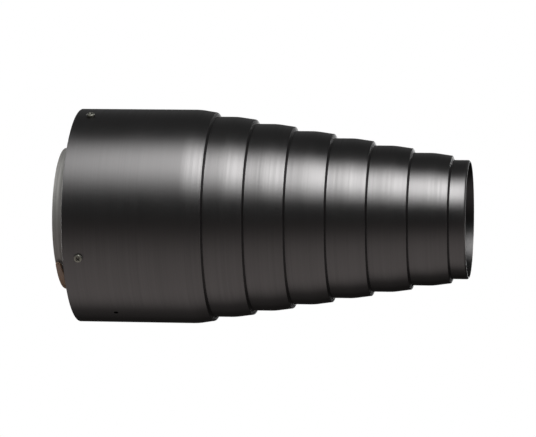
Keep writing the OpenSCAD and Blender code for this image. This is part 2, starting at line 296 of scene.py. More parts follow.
FINISHES = {
    "shell_anodised": (turned, dict(
        colour=(0.046, 0.045, 0.045), rough=0.34, grain=0.07, anisotropy=0.6,
    )),
    "inner_black": (simple, dict(colour=(0.012, 0.012, 0.012), metallic=0.0, rough=0.6)),
    "socket_grey": (turned, dict(
        colour=(0.25, 0.245, 0.235), rough=0.55, grain=0.05, anisotropy=0.3,
    )),
    "band_steel": (turned, dict(
        colour=(0.175, 0.173, 0.166), rough=0.78, grain=0.06, anisotropy=0.1,
        bare=(0.3, 0.3, 0.3), wear=0.3,
    )),
    "latch_steel": (simple, dict(
        colour=(0.3, 0.3, 0.3), metallic=1.0, rough=0.42, grain=0.12, size=1400.0, bump=0.25,
        shade_in_hollows=0.5,
    )),
    "grip_brown": (simple, dict(
        colour=(0.085, 0.05, 0.027), metallic=0.0, rough=0.5, grain=0.25, size=420.0, bump=0.3,
        shade_in_hollows=0.3,
    )),
    "screw_zinc": (simple, dict(
        colour=(0.095, 0.095, 0.082), metallic=1.0, rough=0.42, grain=0.15, size=1400.0,
        bump=0.3, shade_in_hollows=0.95,
    )),
}
MATERIALS = {name: make(name, **values) for name, (make, values) in FINISHES.items()}

# ---------------------------------------------------------------- mesh tools

# All the shapes below are in millimetres, as in the CAD model, and about the same axis. Wear runs
# from 0 to 1 and goes with the points as an attribute of the mesh.
SEGMENTS = 288
TINY = 1e-4
# The most of a side that one fillet may take
FILLET_SHARE = 0.49
# How far from the ends of a straight side its two holding points lie, and the most of the side
# that this is
HOLD = 0.25
HOLD_SHARE = 0.2


def clock(angle, radius, x):
    """The point at a clock angle in degrees: 0 is +Z, 90 is -Y."""
    turn = math.radians(angle)
    return Vector((x, -radius * math.sin(turn), radius * math.cos(turn)))


def rounded(corners, steps=4):
    """A closed outline from (u, v, fillet) or (u, v, fillet, wear) corners, as (u, v, worn) points.

    The wear is on the fillet itself. Two points hold each straight side true right up to its
    fillets, so that its shading stays even.
    """
    points = []
    ends = []
    for i, (u, v, fillet, *wear) in enumerate(corners):
        wear = wear[0] if wear else 0.0
        here = Vector((u, v))
        back = Vector(corners[i - 1][:2]) - here
        ahead = Vector(corners[(i + 1) % len(corners)][:2]) - here
        half = back.angle(ahead) / 2.0
        longest = FILLET_SHARE * min(back.length, ahead.length)
        reach = min(fillet / math.tan(half), longest)
        if reach < TINY:
            points.append((u, v, wear))
            ends.append(len(points))
            continue
        radius = reach * math.tan(half)
        inward = (back.normalized() + ahead.normalized()).normalized()
        middle = here + inward * (radius / math.sin(half))
        first = here + back.normalized() * reach - middle
        last = here + ahead.normalized() * reach - middle
        sweep = first.angle(last)
        for k in range(steps + 1):
            turn = k / steps * sweep
            spoke = (first * math.sin(sweep - turn) + last * math.sin(turn)) / math.sin(sweep)
            worn = wear if 0 < k < steps else 0.0
            points.append((middle.x + spoke.x, middle.y + spoke.y, worn))
        ends.append(len(points))
    held = []
    for i, point in enumerate(points):
        held.append(point)
        if i + 1 in ends:
            after = points[(i + 1) % len(points)]
            length = math.dist(point[:2], after[:2])
            close = min(HOLD, HOLD_SHARE * length) / length
            for t in (close, 1.0 - close):
                u, v = Vector(point[:2]).lerp(Vector(after[:2]), t)
                held.append((u, v, min(point[2], after[2])))
    return held


def mesh_from(name, rows, closed=False):
    """A mesh over rows of (point, worn), joined each to the next.

    Closed rows join the last to the first as well; otherwise the first and the last row are filled.
    """
    build = bmesh.new()
    worn = build.verts.layers.float.new("worn")
    grid = []
    for row in rows:
        line = []
        for point, wear in row:
            vertex = build.verts.new(point * MM)
            vertex[worn] = wear
            line.append(vertex)
        grid.append(line)
    pairs = list(zip(grid, grid[1:]))
    if closed:
        pairs.append((grid[-1], grid[0]))
    count = len(grid[0])
    for line, after in pairs:
        for i in range(count):
            j = (i + 1) % count
            build.faces.new((line[i], line[j], after[j], after[i]))
    if not closed:
        build.faces.new(grid[0])
        build.faces.new(grid[-1])
    bmesh.ops.recalc_face_normals(build, faces=build.faces)
    mesh = bpy.data.meshes.new(name)
    build.to_mesh(mesh)
    build.free()
    return mesh


def turned_mesh(name, corners, segments=SEGMENTS, steps=4):
    """A closed outline of (x, radius, fillet, wear) corners turned about the axis."""
    outline = rounded(corners, steps)
    rows = [
        [(clock(360.0 * k / segments, radius, x), worn) for x, radius, worn in outline]
        for k in range(segments)
    ]
    return mesh_from(name, rows, closed=True)


def turned_solid(name, profile, place, axis, segments=64):
    """A solid turned about any axis; its (height, radius, fillet) corners start and end on it."""
    outline = [point for point in rounded(profile) if point[1] > TINY]
    turn = ALONG_Z.rotation_difference(axis)
    rows = []
    for height, radius, worn in outline:
        row = []
        for k in range(segments):
            angle = 2.0 * math.pi * k / segments
            spoke = Vector((radius * math.cos(angle), radius * math.sin(angle), height))
            row.append((place + turn @ spoke, worn))
        rows.append(row)
    return mesh_from(name, rows)


# Where a strap's sections stand along its round corners, as shares of the corner
CORNER_STATIONS = (0.0, 0.08, 0.25, 0.5, 0.8)
# How far a strap's ends are thinned, as a share of its softened edge
END_THIN = 0.8


def strap(name, start, end, r_in, r_out, x_in, x_out, corner, edge, step=1.5):
    """A strip bent round the axis between two clock angles, with round corners and soft edges."""
    middle_r = (r_in + r_out) / 2.0
    width = (x_out - x_in) / 2.0
    centre = (x_out + x_in) / 2.0
    length = math.radians(end - start) * middle_r
    count = max(2, int((end - start) / step))
    along = [corner * share for share in CORNER_STATIONS]
    along += [corner + (length - 2.0 * corner) * k / count for k in range(count + 1)]
    along += [length - corner * share for share in reversed(CORNER_STATIONS)]
    sections = []
    for place in along:
        near = min(place, length - place)
        pull = corner - math.sqrt(max(corner ** 2 - (corner - min(near, corner)) ** 2, 0.0))
        thin = max(0.0, edge * (1.0 - near / edge)) * END_THIN
        half = width - pull
        outline = rounded([
            (centre - half, r_in + thin, edge), (centre + half, r_in + thin, edge),
            (centre + half, r_out - thin, edge), (centre - half, r_out - thin, edge),
        ], steps=3)
        angle = start + math.degrees(place / middle_r)
        sections.append([(clock(angle, radius, x), worn) for x, radius, worn in outline])
    return mesh_from(name, sections)


def slab(name, outline, x_in, x_out, soften):
    """A flat outline of (y, z) points given a thickness along X, its edges softened."""
    count = len(outline)
    flat = [Vector(point) for point in outline]
    inner = []
    for i in range(count):
        ahead = (flat[(i + 1) % count] - flat[i]).normalized()
        back = (flat[i] - flat[i - 1]).normalized()
        normal = Vector((ahead.y + back.y, -ahead.x - back.x)).normalized()
        inner.append(flat[i] - normal * soften)
    rows = []
    for x, ring, worn in (
        (x_in, inner, 1.0), (x_in + soften, flat, 0.6),
        (x_out - soften, flat, 0.6), (x_out, inner, 1.0),
    ):
        rows.append([(Vector((x, point.x, point.y)), worn) for point in ring])
    return mesh_from(name, rows)


# The domed end of a wire, as (way out along it, size across it), both in wire radii
WIRE_END = ((0.0, 1.0), (0.45, 0.89), (0.8, 0.6), (0.95, 0.3))


def wire(name, path, radius, sides=20):
    """A round wire along a path of points, with domed ends."""
    rows = []
    up = None
    last = len(path) - 1
    for i, point in enumerate(path):
        ahead = (path[min(i + 1, last)] - path[max(i - 1, 0)]).normalized()
        if up is None:
            up = ahead.orthogonal().normalized()
        up = (up - ahead * up.dot(ahead)).normalized()
        side = ahead.cross(up)
        rings = WIRE_END[:1]
        if i == 0:
            rings = [(-shift, size) for shift, size in reversed(WIRE_END)]
        if i == last:
            rings = WIRE_END
        for shift, size in rings:
            row = []
            for k in range(sides):
                turn = 2.0 * math.pi * k / sides
                spoke = up * math.cos(turn) + side * math.sin(turn)
                place = point + ahead * (shift * radius) + spoke * (size * radius)
                row.append((place, 0.0))
            rows.append(row)
    return mesh_from(name, rows)


def box_mesh(name, low, high, turn):
    """A box between two corners, then turned about X to a clock angle."""
    corners = ((low[1], low[2]), (high[1], low[2]), (high[1], high[2]), (low[1], high[2]))
    rows = [[(Vector((x, y, z)), 0.0) for y, z in corners] for x in (low[0], high[0])]
    mesh = mesh_from(name, rows)
    mesh.transform(Matrix.Rotation(math.radians(turn), 4, "X"))
    return mesh


def joined(name, meshes):
    """One mesh made of several, which are used up."""
    build = bmesh.new()
    for mesh in meshes:
        build.from_mesh(mesh)
        bpy.data.meshes.remove(mesh)
    whole = bpy.data.meshes.new(name)
    build.to_mesh(whole)
    build.free()
    return whole


def settled(mesh, add_modifiers):
    """The mesh with modifiers applied.

    add_modifiers puts them on a passing object and returns the helper objects that it made, if any.
    """
    passing = bpy.data.objects.new("passing", mesh)
    bpy.context.scene.collection.objects.link(passing)
    helpers = add_modifiers(passing) or []
    depsgraph = bpy.context.evaluated_depsgraph_get()
    result = bpy.data.meshes.new_from_object(passing.evaluated_get(depsgraph))
    bpy.data.objects.remove(passing)
    for helper in helpers:
        bpy.data.objects.remove(helper)
    return result


def cut(mesh, cutter):
    """The mesh with the cutter's volume taken out."""
    def add(passing):
        helper = bpy.data.objects.new("cutter", cutter)
        bpy.context.scene.collection.objects.link(helper)
        modifier = passing.modifiers.new("cut", "BOOLEAN")
        modifier.operation = "DIFFERENCE"
        modifier.solver = "EXACT"
        modifier.object = helper
        return [helper]
    return settled(mesh, add)


# Angles in degrees: above the first an edge is sharp enough to soften, below the second one is flat
SOFTEN_ANGLE = 35.0
FLAT_ANGLE = 1.0
MERGE = 0.01


def softened(mesh, width):
    """The mesh with its sharp edges taken off."""
    def add(passing):
        modifier = passing.modifiers.new("soften", "BEVEL")
        modifier.width = width * MM
        modifier.segments = 1
        modifier.limit_method = "ANGLE"
        modifier.angle_limit = math.radians(SOFTEN_ANGLE)
        modifier.use_clamp_overlap = False
    return settled(mesh, add)


def refined(node, width):
    """A copy of a CAD node's mesh, cleaned of its triangles and with its edges softened."""
    build = bmesh.new()
    build.from_mesh(NODES[node].data)
    bmesh.ops.remove_doubles(build, verts=build.verts, dist=MERGE * MM)
    bmesh.ops.dissolve_limit(
        build, angle_limit=math.radians(FLAT_ANGLE), verts=build.verts, edges=build.edges
    )
    mesh = bpy.data.meshes.new(node)
    build.to_mesh(mesh)
    build.free()
    return softened(mesh, width)


def piece(name, mesh, material, body, node, smooth=32.0):
    """Puts a mesh in the scene as a piece that stands for a CAD node, smooth up to an angle."""
    mesh.name = name
    mesh.polygons.foreach_set("use_smooth", [True] * len(mesh.polygons))
    mesh.set_sharp_from_angle(angle=math.radians(smooth))
    mesh.materials.clear()
    mesh.materials.append(MATERIALS[material])
    result = bpy.data.objects.new(name, mesh)
    bpy.context.scene.collection.objects.link(result)
    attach(result, body)
    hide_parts(node)


# ---------------------------------------------------------------- shells

# Shell 0 is the rear shell, 1 to 6 are the step rings and the last is the nose ring
STEPS = 6
NOSE = STEPS + 1
REAR_X = 13.4
REAR_R = 82.5
STEP_DROP = 5.28
STEP_PITCH = 30.4
REAR_LEN = 106.5
NOSE_LEN = 12.2
WALL = 1.5
REAR_LIP_LEN = 13.6
LIP_LEN = 15.2
LIP_DROP = 2.0
# Radii of the bend where a cylinder runs into its conical lip, outside and inside
LIP_BEND_OUT = 50.0
LIP_BEND_IN = 48.0
# Play between the hole in a lip and the shell that comes out of it
RING_GAP = 0.1
# The bevels at the front of a lip and round the mouth
BEVEL = 1.3
MOUTH_BEVEL = 0.9
MOUTH_BEVEL_LEN = 1.2
# The joining rings: their length, their flange's thickness, and how far behind the lip they end
JOIN_LEN = 8.0
JOIN_FLANGE = 1.5
JOIN_BACK = 0.5
RING_SEGMENTS = 192
# The cooling hole. Its cutter starts inside the shell, is wider up to the sheet and ends outside.
VENT_ANGLE = 154.0
VENT_X = 47.6
VENT_R = 1.8
VENT_UNDERCUT = 1.5
VENT_START_R = 78.0
VENT_NECK_R = 78.2
VENT_END_R = 86.5


def shell_r(k):
    return REAR_R - STEP_DROP * k


def shell_front(k):
    return REAR_X + REAR_LEN + STEP_PITCH * min(k, STEPS) + (NOSE_LEN if k == NOSE else 0.0)


def lip_len(k):
    return REAR_LIP_LEN if k == 0 else LIP_LEN


def join_x(k):
    """The rear end of the ring that holds shell k inside the one behind it."""
    return shell_front(k - 1) - lip_len(k - 1) - JOIN_BACK - JOIN_LEN


def nose_mesh():
    """The nose ring, with a bevel round the mouth that is a little worn."""
    rear = join_x(NOSE) + JOIN_FLANGE
    front = shell_front(NOSE)
    r = shell_r(NOSE)
    return turned_mesh("nose", [
        (rear, r - WALL, 0.1), (rear, r, 0.4), (front - MOUTH_BEVEL_LEN, r, 0.15, 0.3),
        (front, r - MOUTH_BEVEL, 0.1, 0.4), (front, r - WALL, 0.08, 0.5),
    ])


def shell_mesh(k):
    """Shell k as spun from sheet: its corners carry the small radii that the tools leave."""
    rear = REAR_X if k == 0 else join_x(k) + JOIN_FLANGE
    front = shell_front(k)
    lip = front - lip_len(k)
    r = shell_r(k)
    lip_r = r - LIP_DROP
    hole = shell_r(k + 1) + RING_GAP
    slope = BEVEL / (lip_r - hole)
    inner_lip = front - WALL - slope * (lip_r - WALL - hole)
    return turned_mesh("shell", [
        (rear, r - WALL, 0.1, 0.7), (rear, r, 0.35, 0.3), (lip, r, LIP_BEND_OUT),
        (front - BEVEL, lip_r, 0.7, 0.3), (front, hole, 0.12, 1.0), (front - WALL, hole, 0.12),
        (inner_lip, lip_r - WALL, 0.5), (lip, r - WALL, LIP_BEND_IN),
    ], steps=6)


def vent_cutter():
    """What the cooling hole takes out of the rear shell."""
    wide = VENT_R + VENT_UNDERCUT
    inside = REAR_R - WALL - VENT_START_R
    neck = REAR_R - VENT_NECK_R
    end = VENT_END_R - VENT_START_R
    return turned_solid("vent", [
        (0.0, 0.0, 0.0), (0.0, wide, 0.0), (inside, wide, 0.0),
        (neck, VENT_R, 0.0), (end, VENT_R, 0.0), (end, 0.0, 0.0),
    ], clock(VENT_ANGLE, VENT_START_R, VENT_X), clock(VENT_ANGLE, 1.0, 0.0), segments=48)


def join_mesh(k):
    """The ring that holds shell k: a tube between the shells with a flange at its rear."""
    x, outer, inner = join_x(k), shell_r(k - 1) - WALL, shell_r(k)
    return turned_mesh("join", [
        (x, inner - WALL, 0.3), (x, outer, 0.3),
        (x + JOIN_LEN, outer, 0.1), (x + JOIN_LEN, inner, 0.1),
        (x + JOIN_FLANGE, inner, 0.0), (x + JOIN_FLANGE, inner - WALL, 0.3),
    ], RING_SEGMENTS, steps=3)


def add_shells():
    rear = cut(shell_mesh(0), vent_cutter())
    piece("rear_shell_spun", rear, "shell_anodised", "root", "rear_shell")
    for k in range(1, NOSE):
        piece("step_ring_%d_spun" % k, shell_mesh(k), "shell_anodised", "root", "step_ring_%d" % k)
    piece("nose_ring_spun", nose_mesh(), "shell_anodised", "root", "nose_ring")
    for k in range(1, NOSE + 1):
        piece("join_ring_%d_turned" % k, join_mesh(k), "inner_black", "root", "join_ring_%d" % k)


# ---------------------------------------------------------------- mount plate, socket and screws

PLATE_X = REAR_X + 6.8
PLATE_FRONT = PLATE_X + 12.0
PLATE_RIM = 3.5
PLATE_BORE_R = 52.0
WEB_X = PLATE_FRONT - 3.0
FLANGE_X = WEB_X - 2.0
FLANGE_R = 63.0
SOCKET_R = 50.0
SOCKET_OUTER_R = 51.2
SOCKET_SEGMENTS = 240
# The slots that let the socket's end give under the band, each with a round end
SLOTS = 12
SLOT_HALF = 1.0
SLOT_END_R = 1.6
SLOT_LEN = 16.0
SLOT_IN_R = 48.0
SLOT_OUT_R = 54.0
SCREW_X = REAR_X + 12.1
SCREW_ANGLE = 23.0
# How far each screw head is turned, in degrees: the four in the shell, and each in the flange
# against the one before it
SCREW_TURNS = (12.0, 20.0, 63.0, 38.0)
FLANGE_SCREWS = 6
FLANGE_SCREW_R = 58.0
FLANGE_SCREW_TURN = 37.0
# A cross recess: (reach, half breadth) as shares of the head's radius, above the head's top, at
# its top and at the recess's bottom; how far above the top; its depth as a share of the head's
# height; how far it is turned
RECESS = ((0.74, 0.22), (0.7, 0.2), (0.24, 0.12))
RECESS_OVER = 0.5
RECESS_DEPTH = 0.62
RECESS_TURN = 20.0
HEAD_EDGE = 0.05


def recess_blades(head_r, head_h):
    """The two tapered blades of a cross recess, pointing down from the head's top along Z."""
    heights = (head_h + RECESS_OVER, head_h, head_h - head_h * RECESS_DEPTH)
    blades = []
    for turn in (0.0, 90.0):
        rows = []
        for height, (reach, half) in zip(heights, RECESS):
            rows.append([
                (Vector((sx * reach * head_r, sy * half * head_r, height)), 0.0)
                for sx, sy in ((-1, -1), (1, -1), (1, 1), (-1, 1))
            ])
        blade = mesh_from("blade", rows)
        blade.transform(Matrix.Rotation(math.radians(turn + RECESS_TURN), 4, "Z"))
        blades.append(blade)
    return blades


def screw_mesh(head_r, head_h, shank_r, shank):
    """A pan head screw along +Z with its head on z = 0 and a cross recess."""
    head = turned_solid("head", [
        (0.0, 0.0, 0.0), (0.0, head_r * 0.97, 0.0), (head_h * 0.12, head_r, 0.1),
        (head_h * 0.86, head_r, 0.22 * head_h), (head_h, head_r * 0.55, 0.6 * head_r),
        (head_h, 0.0, 0.0),
    ], ORIGIN, ALONG_Z, segments=72)
    for blade in recess_blades(head_r, head_h):
        head = cut(head, blade)
    stem = turned_solid("stem", [
        (-shank, 0.0, 0.0), (-shank, shank_r - 0.3, 0.0), (-shank + 0.4, shank_r, 0.0),
        (0.05, shank_r, 0.0), (0.05, 0.0, 0.0),
    ], ORIGIN, ALONG_Z, segments=32)
    return joined("screw", [softened(head, HEAD_EDGE), stem])


def placed(mesh, place, outward, spin):
    """A copy of a mesh that points along +Z, moved so that it points outward, in millimetres."""
    copy = mesh.copy()
    turn = ALONG_Z.rotation_difference(outward).to_matrix().to_4x4()
    spun = Matrix.Rotation(math.radians(spin), 4, "Z")
    copy.transform(Matrix.Translation(place * MM) @ turn @ spun)
    return copy


def add_plate():
    outer = REAR_R - WALL
    plate = turned_mesh("plate", [
        (PLATE_X, outer - PLATE_RIM, 0.4), (PLATE_X, outer, 0.3), (PLATE_FRONT, outer, 0.3),
        (PLATE_FRONT, PLATE_BORE_R, 0.4), (WEB_X, PLATE_BORE_R, 0.3),
        (WEB_X, outer - PLATE_RIM, 1.2),
    ], RING_SEGMENTS)
    piece("mount_plate_turned", plate, "inner_black", "root", "mount_plate")


def add_socket():
    tube = turned_mesh("socket", [
        (0.0, SOCKET_R, 0.35), (0.0, SOCKET_OUTER_R, 0.25), (FLANGE_X, SOCKET_OUTER_R, 0.9),
        (FLANGE_X, FLANGE_R, 0.4), (WEB_X, FLANGE_R, 0.3), (WEB_X, SOCKET_R, 0.3),
    ], SOCKET_SEGMENTS)
    slots, ends = [], []
    for i in range(SLOTS):
        angle = (i + 0.5) * 360.0 / SLOTS
        slots.append(box_mesh(
            "slot", (-1.0, -SLOT_HALF, SLOT_IN_R), (SLOT_LEN, SLOT_HALF, SLOT_OUT_R), angle
        ))
        ends.append(turned_solid("end", [
            (0.0, 0.0, 0.0), (0.0, SLOT_END_R, 0.0),
            (SLOT_OUT_R - SLOT_IN_R, SLOT_END_R, 0.0), (SLOT_OUT_R - SLOT_IN_R, 0.0, 0.0),
        ], clock(angle, SLOT_IN_R, SLOT_LEN), clock(angle, 1.0, 0.0), segments=32))
    for cutters in (slots, ends):
        tube = cut(tube, joined("slots", cutters))
    piece("socket_slotted", tube, "socket_grey", "root", "socket")


def add_screws():
    screw = screw_mesh(head_r=3.4, head_h=2.4, shank_r=2.0, shank=6.0)
    placed_screws = []
    for i in range(FLANGE_SCREWS):
        place = clock(360.0 / FLANGE_SCREWS * i, FLANGE_SCREW_R, FLANGE_X)
        placed_screws.append(placed(screw, place, BACK_X, FLANGE_SCREW_TURN * i))
    mesh = joined("flange_screws", placed_screws)
    piece("flange_screws_cross", mesh, "screw_zinc", "root", "flange_screws")

    screw = screw_mesh(head_r=3.1, head_h=2.2, shank_r=1.5, shank=6.0)
    placed_screws = []
    for i, spin in enumerate(SCREW_TURNS):
        angle = SCREW_ANGLE + 90.0 * i
        place = clock(angle, REAR_R, SCREW_X)
        placed_screws.append(placed(screw, place, clock(angle, 1.0, 0.0), spin))
    mesh = joined("shell_screws", placed_screws)
    piece("shell_screws_cross", mesh, "screw_zinc", "root", "shell_screws")


# ---------------------------------------------------------------- band and latch

BAND_IN = 51.22
BAND_R = 52.02
BAND_WIDTH = 12.0
# The band is open under the latch, and its clock angles run on past a full turn
BAND_START = 220.0
BAND_END = 567.0
# The fittings' feet lie on the band
BASE_R = 53.02
FOOT_X = 1.6
FOOT_CORNER = 1.2
FOOT_EDGE = 0.2
# How far the hook's lug and the bracket's knuckle reach into their feet
SUNK = 0.3

LEVER_X = 0.6
LEVER_W = 10.8
LEVER_MID = LEVER_X + LEVER_W / 2.0
LEVER_OUTER = BAND_R + 1.6
LEVER_EDGE = 0.16
EAR_X = 2.6
EAR_THICK = 1.2

PIVOT_ANGLE = 196.0
PIVOT_R = 55.2
KNUCKLE_R = 2.4
KNUCKLE_GAP = 0.3
BRACKET_START = 190.5
BRACKET_END = 207.0

# The wire bail, from its holes in the lever's ears to the crossbar that the hook holds
BAIL_ANGLE = 189.8
BAIL_R = 54.6
CROSSBAR_ANGLE = 230.0
WIRE_R = 0.7
WIRE_X = EAR_X - 0.2 - WIRE_R
WIRE_TAIL = 1.0
# Its bends: their length across in millimetres and round the axis in degrees, and the steps in each
BEND = 1.2
BEND_TURN = 1.5
BEND_STEPS = 5
ARM_STEPS = 24

HOOK_END = 237.0
LUG_TURN = 2.4
LUG_HALF = 2.5
LUG_HEIGHT = 2.6
LUG_CORNER = 0.5
LUG_EDGE = 0.35

# The grip: its outside is an arc about a centre below the axis, and its front tapers to the tip
TIP_ANGLE = 132.5
TIP_W = 3.8
TIP_TAPER = math.radians(9.0)
GRIP_END = 183.0
GRIP_ARC_R = 50.8
GRIP_ARC_DROP = 6.9
GRIP_RUN_R = 56.0
# Its rounded ends, as degrees from the end, then even steps between them; how far an end draws in
# each side, and what share of its height
GRIP_ENDS = (0.0, 0.15, 0.4, 0.8, 1.3, 2.0)
GRIP_EVEN = 2.8
GRIP_STEPS = 40
GRIP_DRAW = 0.9
GRIP_FLATTEN = 0.55

# Rivets: two in the grip, a pair in each foot, and one opposite that holds the band
GRIP_RIVET_ANGLES = (158.0, 175.0)
GRIP_RIVET_X = 5.2
GRIP_RIVET_SUNK = 0.18
BASE_RIVET_ANGLES = (203.5, 234.2)
BASE_RIVET_SIDE = 2.4
ANCHOR_RIVET_ANGLE = 300.0


def mirrored(x):
    """The place as far on the other side of the lever's middle."""
    return 2.0 * LEVER_MID - x


def dome(angle, radius, x, head_r, height, foot):
    """A domed rivet head that points outward at a clock angle, with a foot below it."""
    return turned_solid("dome", [
        (-foot, 0.0, 0.0), (-foot, head_r * 0.66, 0.0),
        (0.0, head_r * 0.66, 0.0), (0.0, head_r, 0.0),
        (height * 0.35, head_r * 0.98, 0.4 * height), (height * 0.8, head_r * 0.62, 0.8 * head_r),
        (height, head_r * 0.12, 0.0), (height, 0.0, 0.0),
    ], clock(angle, radius, x), clock(angle, 1.0, 0.0), segments=40)


def foot_strap(start, end):
    """The pressed foot of a fitting, between two clock angles."""
    return strap(
        "foot", start, end, BAND_R, BASE_R, FOOT_X, mirrored(FOOT_X), FOOT_CORNER, FOOT_EDGE
    )


def hook_mesh():
    """The hook on the band's end: a foot with a lug that the crossbar lies behind."""
    lug_end = CROSSBAR_ANGLE - math.degrees(math.asin((WIRE_R + 0.05) / BAIL_R))
    lug = strap(
        "lug", lug_end - LUG_TURN, lug_end, BASE_R - SUNK, BASE_R + LUG_HEIGHT,
        LEVER_MID - LUG_HALF, LEVER_MID + LUG_HALF, LUG_CORNER, LUG_EDGE, step=1.0,
    )
    return joined("hook", [foot_strap(lug_end - LUG_TURN, HOOK_END), lug])


def bracket_mesh():
    """The bracket that carries the lever: a foot and a round knuckle between the lever's ears."""
    pivot = clock(PIVOT_ANGLE, PIVOT_R, 0.0)
    turn = math.radians(PIVOT_ANGLE)
    out = Vector((-math.sin(turn), math.cos(turn)))
    across = Vector((math.cos(turn), math.sin(turn)))
    at = Vector((pivot.y, pivot.z))
    foot = BASE_R - SUNK - PIVOT_R
    arch = [at + out * foot - across * KNUCKLE_R, at - across * KNUCKLE_R]
    for k in range(1, 20):
        bend = math.pi * k / 20
        arch.append(at + out * KNUCKLE_R * math.sin(bend) - across * KNUCKLE_R * math.cos(bend))
    arch += [at + across * KNUCKLE_R, at + out * foot + across * KNUCKLE_R]
    if sum(a.x * b.y - b.x * a.y for a, b in zip(arch, arch[1:] + arch[:1])) < 0.0:
        arch.reverse()
    knuckle_x = EAR_X + EAR_THICK + KNUCKLE_GAP
    knuckle = slab("knuckle", arch, knuckle_x, mirrored(knuckle_x), soften=0.2)
    return joined("bracket", [foot_strap(BRACKET_START, BRACKET_END), knuckle])


def grip_out(angle):
    """Outside radius of the grip."""
    turn = math.radians(180.0 - angle)
    reach = math.sqrt(GRIP_ARC_R ** 2 - (GRIP_ARC_DROP * math.sin(turn)) ** 2)
    return GRIP_ARC_DROP * math.cos(turn) + reach


def grip_far_x(angle):
    """The front side of the grip."""
    run = GRIP_RUN_R * math.sin(math.radians(angle - TIP_ANGLE))
    return min(LEVER_X + LEVER_W, LEVER_X + TIP_W + run * math.tan(TIP_TAPER))


def grip_mesh():
    """The resin grip: thin and narrow at the tip, crowned across, with rounded ends."""
    span = GRIP_END - TIP_ANGLE
    even = span - 2.0 * GRIP_EVEN
    stations = list(GRIP_ENDS)
    stations += [GRIP_EVEN + even * k / GRIP_STEPS for k in range(GRIP_STEPS + 1)]
    stations += [span - station for station in reversed(GRIP_ENDS)]
    sections = []
    for station in stations:
        angle = TIP_ANGLE + station
        near = min(station, span - station)
        close = 1.0 - min(near / GRIP_ENDS[-1], 1.0)
        drop = 1.0 - math.sqrt(max(1.0 - close ** 2, 0.0))
        x_in = LEVER_X + GRIP_DRAW * drop
        x_out = grip_far_x(angle) - GRIP_DRAW * drop
        low = LEVER_OUTER
        high = grip_out(angle) - GRIP_FLATTEN * (grip_out(angle) - low) * drop
        thick = high - low
        crown = min(0.35, 0.2 * thick)
        soft = min(0.42 * thick, 1.1)
        outline = rounded([
            (x_in, low, 0.15), (x_out, low, 0.15), (x_out, high - crown, soft),
            ((x_in + x_out) / 2.0, high + 0.02, 6.0), (x_in, high - crown, soft),
        ], steps=5)
        sections.append([(clock(angle, radius, x), worn) for x, radius, worn in outline])
    return mesh_from("grip", sections)


def bent(before, corner, after):
    """Points along a smooth bend that leaves out a corner."""
    points = []
    for k in range(BEND_STEPS + 1):
        t = k / BEND_STEPS
        points.append(before * (1 - t) ** 2 + corner * (2 * t * (1 - t)) + after * t ** 2)
    return points


def bail_path():
    """The bail's wire: out of one ear, round to the hook, across it and back into the other ear."""
    def at(angle, x):
        return clock(angle, BAIL_R, x)

    start = BAIL_ANGLE + BEND_TURN
    arm = CROSSBAR_ANGLE - BAIL_ANGLE - 2.0 * BEND_TURN
    inner = WIRE_X + BEND
    path = [at(BAIL_ANGLE, EAR_X + WIRE_TAIL)]
    path += bent(at(BAIL_ANGLE, inner), at(BAIL_ANGLE, WIRE_X), at(start, WIRE_X))
    path += [at(start + arm * k / ARM_STEPS, WIRE_X) for k in range(1, ARM_STEPS)]
    path += bent(
        at(CROSSBAR_ANGLE - BEND_TURN, WIRE_X), at(CROSSBAR_ANGLE, WIRE_X),
        at(CROSSBAR_ANGLE, inner),
    )
    return path + [Vector((mirrored(point.x), point.y, point.z)) for point in reversed(path)]


def pin_mesh():
    """The pin through the lever's ears, peened over at both ends."""
    return turned_solid("pin", [
        (-0.45, 0.0, 0.0), (-0.45, 0.7, 0.0), (-0.1, 1.25, 0.2),
        (6.9, 1.25, 0.2), (7.25, 0.7, 0.0), (7.25, 0.0, 0.0),
    ], clock(PIVOT_ANGLE, PIVOT_R, EAR_X), ALONG_X, segments=40)


def add_latch():
    band = strap(
        "band", BAND_START, BAND_END, BAND_IN, BAND_R, 0.0, BAND_WIDTH, corner=2.0, edge=0.18
    )
    piece("clamp_band_rolled", band, "band_steel", "root", "clamp_band")
    piece("band_hook_pressed", hook_mesh(), "latch_steel", "root", "band_hook")
    piece("latch_bracket_pressed", bracket_mesh(), "latch_steel", "root", "latch_bracket")

    lever = refined("latch_lever", LEVER_EDGE)
    piece("latch_lever_pressed", lever, "latch_steel", "lever", "latch_lever")
    piece("lever_grip_moulded", grip_mesh(), "grip_brown", "lever", "lever_grip", smooth=40.0)
    heads = []
    for angle in GRIP_RIVET_ANGLES:
        radius = grip_out(angle) - GRIP_RIVET_SUNK
        heads.append(dome(angle, radius, GRIP_RIVET_X, head_r=1.2, height=0.55, foot=1.0))
    piece("grip_rivets_domed", joined("grip_rivets", heads), "screw_zinc", "lever", "grip_rivets")

    piece("latch_bail_bent", wire("bail", bail_path(), WIRE_R), "latch_steel", "bail", "latch_bail")
    piece("lever_pin_peened", pin_mesh(), "screw_zinc", "root", "lever_pin")
    heads = [
        dome(angle, BASE_R, LEVER_MID + way * BASE_RIVET_SIDE, head_r=1.5, height=0.7, foot=1.5)
        for angle in BASE_RIVET_ANGLES for way in (-1.0, 1.0)
    ]
    heads.append(dome(
        ANCHOR_RIVET_ANGLE, BAND_R, BAND_WIDTH / 2.0, head_r=2.0, height=0.9, foot=1.5
    ))
    piece("band_rivets_domed", joined("band_rivets", heads), "screw_zinc", "root", "band_rivets")


# ---------------------------------------------------------------- studio

# A seamless white room. The snoot is held well above the floor. To the eye the floor and the walls
# are plain white; what they throw on the snoot falls off as in a studio with one white sweep in
# front of and below the object and dark walls round it. Places and sizes are in metres.
MIDDLE_X = 0.15
WHITE = (1.0, 1.0, 1.0, 1.0)
FLOOR_Z = -0.30
FLOOR_SIZE = 12.0
